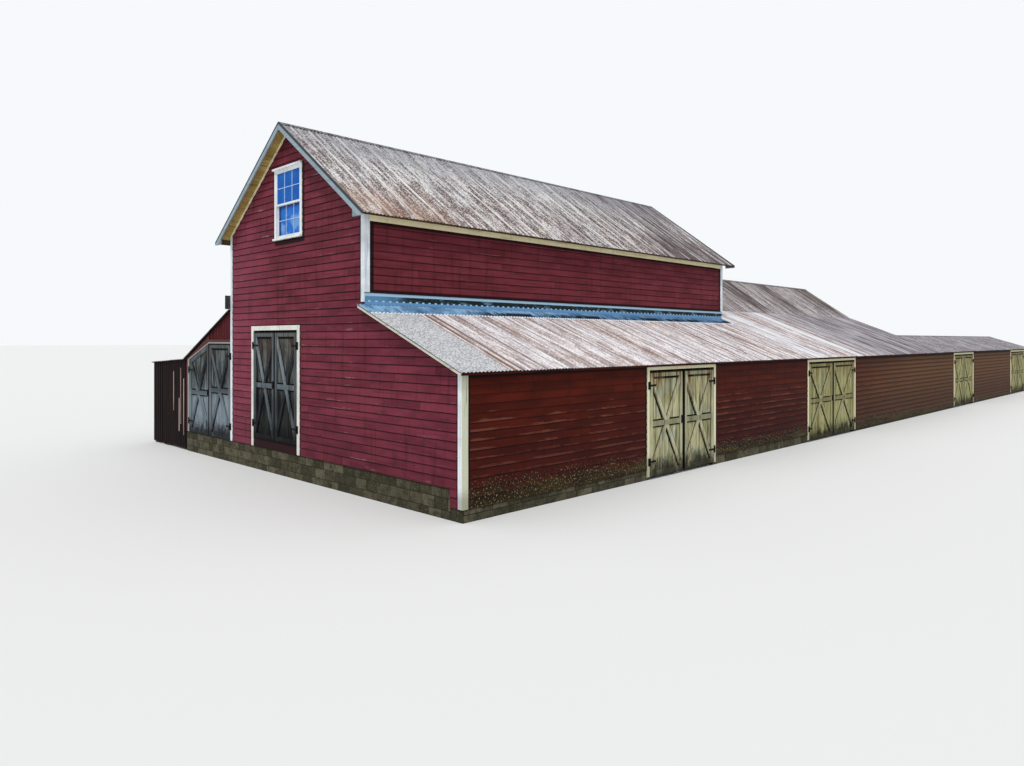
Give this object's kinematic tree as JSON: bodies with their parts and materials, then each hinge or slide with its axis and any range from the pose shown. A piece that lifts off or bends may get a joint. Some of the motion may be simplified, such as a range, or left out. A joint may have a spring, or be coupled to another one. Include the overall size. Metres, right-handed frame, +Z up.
{
  "type": "red timber barn",
  "caption": "Long red timber barn with a tall gabled front block, side aisles, a low rear wing, cross-braced double doors and weathered sheet metal roofs.",
  "frame": {"origin": "centre of the building's outline on the floor it stands on", "axes": "+Z up, +Y back along the barn's length from the tall gabled front, +X to the right seen from the front"},
  "size_m": [12.285, 39.945, 6.7415],
  "materials": {
    "stone": "rough rubble",
    "siding_red": "weathered paint",
    "boards_red": "weathered paint",
    "bare_timber": "rough sawn",
    "roof_sheet": "weathered and rusty galvanised sheet",
    "trim_white": "paint",
    "trim_cream": "paint",
    "glass": "clear",
    "door_grey": "bare weathered boards",
    "door_green": "faded and stained paint"
  },
  "bodies": {
    "barn": {"stone_foundation": "stone", "front_wall_beside_door": "siding_red", "front_wall_under_door": "siding_red", "front_gable_wall": "siding_red", "aisle_front_wall": "siding_red", "leanto_front_wall": "boards_red", "right_side_wall": "siding_red", "right_wall_plates": "siding_red", "left_side_wall": "boards_red", "clerestory_walls": "siding_red", "tall_rear_gable_wall": "siding_red", "rear_gable_wall": "siding_red", "wing_left_wall": "siding_red", "wing_rear_wall": "siding_red", "shed_boards": "boards_red", "frame_posts": "bare_timber", "frame_girders": "bare_timber", "loft_floor": "bare_timber", "tall_roof": "roof_sheet", "right_lower_roof": "roof_sheet", "left_lower_roof": "roof_sheet", "nave_roof": "roof_sheet", "wing_roof": "roof_sheet", "shed_roof": "roof_sheet", "ridge_caps": "roof_sheet", "wall_flashings": "roof_sheet", "corner_boards": "trim_white", "frieze_boards": "trim_cream", "bargeboards": "trim_white", "door_casings": "trim_white", "window_frame": "trim_white", "window_sashes": "trim_white", "window_glass": "glass"},
    "front_door_left": {"front_door_left": "door_grey"},
    "front_door_right": {"front_door_right": "door_grey"},
    "leanto_door_left": {"leanto_door_left": "door_grey"},
    "leanto_door_right": {"leanto_door_right": "door_grey"},
    "side_door_1_left": {"side_door_1_left": "door_green"},
    "side_door_1_right": {"side_door_1_right": "door_green"},
    "side_door_2_left": {"side_door_2_left": "door_green"},
    "side_door_2_right": {"side_door_2_right": "door_green"},
    "side_door_3_left": {"side_door_3_left": "door_green"},
    "side_door_3_right": {"side_door_3_right": "door_green"},
    "side_door_4_left": {"side_door_4_left": "door_green"},
    "side_door_4_right": {"side_door_4_right": "door_green"}
  },
  "joints": [
    {"name": "front_door_left_hinge", "type": "hinge", "parent": "barn", "child": "front_door_left", "pos_m": [-0.4135, -19.7635, 1.7], "axis": [0, 0, -1], "range_deg": [0, 110]},
    {"name": "front_door_right_hinge", "type": "hinge", "parent": "barn", "child": "front_door_right", "pos_m": [1.3385, -19.7635, 1.7], "axis": [0, 0, 1], "range_deg": [0, 110]},
    {"name": "leanto_door_left_hinge", "type": "hinge", "parent": "barn", "child": "leanto_door_left", "pos_m": [-3.6885, -19.7635, 1.4], "axis": [0, 0, -1], "range_deg": [0, 110]},
    {"name": "leanto_door_right_hinge", "type": "hinge", "parent": "barn", "child": "leanto_door_right", "pos_m": [-1.4965, -19.7635, 1.4], "axis": [0, 0, 1], "range_deg": [0, 110]},
    {"name": "side_door_1_left_hinge", "type": "hinge", "parent": "barn", "child": "side_door_1_left", "pos_m": [6.0435, -15.0835, 1], "axis": [0, 0, -1], "range_deg": [0, 170]},
    {"name": "side_door_1_right_hinge", "type": "hinge", "parent": "barn", "child": "side_door_1_right", "pos_m": [6.0435, -12.7215, 1], "axis": [0, 0, 1], "range_deg": [0, 170]},
    {"name": "side_door_2_left_hinge", "type": "hinge", "parent": "barn", "child": "side_door_2_left", "pos_m": [6.0435, -7.9035, 1], "axis": [0, 0, -1], "range_deg": [0, 170]},
    {"name": "side_door_2_right_hinge", "type": "hinge", "parent": "barn", "child": "side_door_2_right", "pos_m": [6.0435, -4.7815, 1], "axis": [0, 0, 1], "range_deg": [0, 170]},
    {"name": "side_door_3_left_hinge", "type": "hinge", "parent": "barn", "child": "side_door_3_left", "pos_m": [6.0435, 5.6565, 1], "axis": [0, 0, -1], "range_deg": [0, 170]},
    {"name": "side_door_3_right_hinge", "type": "hinge", "parent": "barn", "child": "side_door_3_right", "pos_m": [6.0435, 8.4385, 1], "axis": [0, 0, 1], "range_deg": [0, 170]},
    {"name": "side_door_4_left_hinge", "type": "hinge", "parent": "barn", "child": "side_door_4_left", "pos_m": [6.0435, 15.5665, 1], "axis": [0, 0, -1], "range_deg": [0, 170]},
    {"name": "side_door_4_right_hinge", "type": "hinge", "parent": "barn", "child": "side_door_4_right", "pos_m": [6.0435, 18.6085, 1], "axis": [0, 0, 1], "range_deg": [0, 170]}
  ]
}
